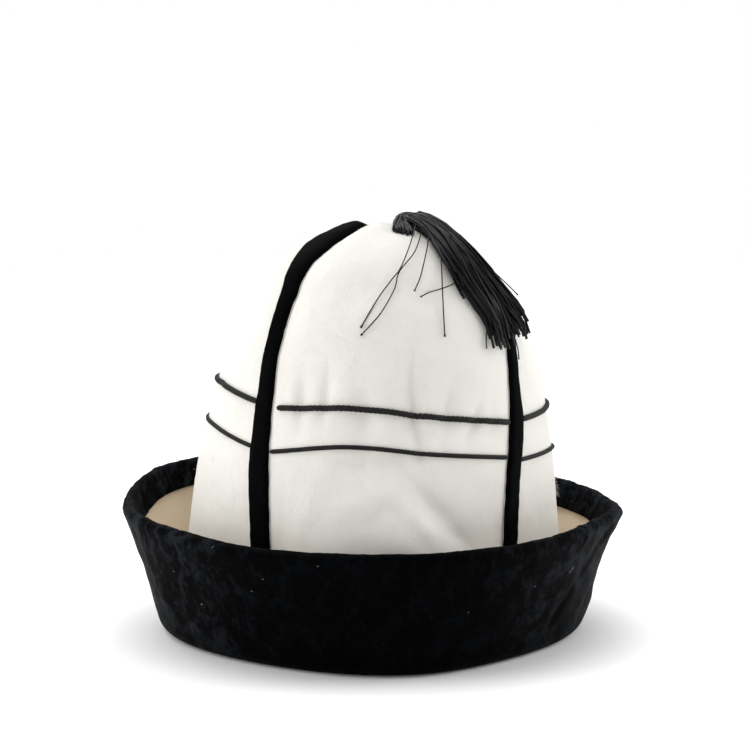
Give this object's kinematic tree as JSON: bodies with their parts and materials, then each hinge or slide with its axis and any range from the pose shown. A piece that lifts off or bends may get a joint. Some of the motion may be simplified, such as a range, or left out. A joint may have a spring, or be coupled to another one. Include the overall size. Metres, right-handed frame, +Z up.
{
  "type": "kalpak felt hat",
  "caption": "Tall rounded felt hat of sewn gores with velvet strips on the seams, cords across them, an upturned velvet-faced brim and a tassel at the top.",
  "frame": {"origin": "below the middle of the brim's outline, on the surface that the hat stands on", "axes": "+X to the wearer's left, which is the viewer's right in front, +Y from the front of the hat to its back, +Z up"},
  "size_m": [0.2483, 0.2467, 0.207],
  "materials": {
    "felt_white": "thick white wool felt, slightly fibrous and matt",
    "felt_cream": "cream wool felt, matt",
    "velvet_black": "black crushed velvet with a soft mottled sheen",
    "cord_black": "black twisted cord, matt",
    "silk_black": "black thread, slightly shiny"
  },
  "bodies": {
    "root": {"crown_gore_front": "felt_white", "crown_gore_right": "felt_white", "crown_gore_back": "felt_white", "crown_gore_left": "felt_white", "seam_strip_front_left": "velvet_black", "seam_strip_front_right": "velvet_black", "seam_strip_back_right": "velvet_black", "seam_strip_back_left": "velvet_black", "cord_upper_front": "cord_black", "cord_upper_right": "cord_black", "cord_upper_back": "cord_black", "cord_upper_left": "cord_black", "cord_lower_front": "cord_black", "cord_lower_right": "cord_black", "cord_lower_back": "cord_black", "cord_lower_left": "cord_black", "brim_felt": "felt_cream", "brim_velvet": "velvet_black", "tassel": "silk_black"}
  },
  "joints": []
}
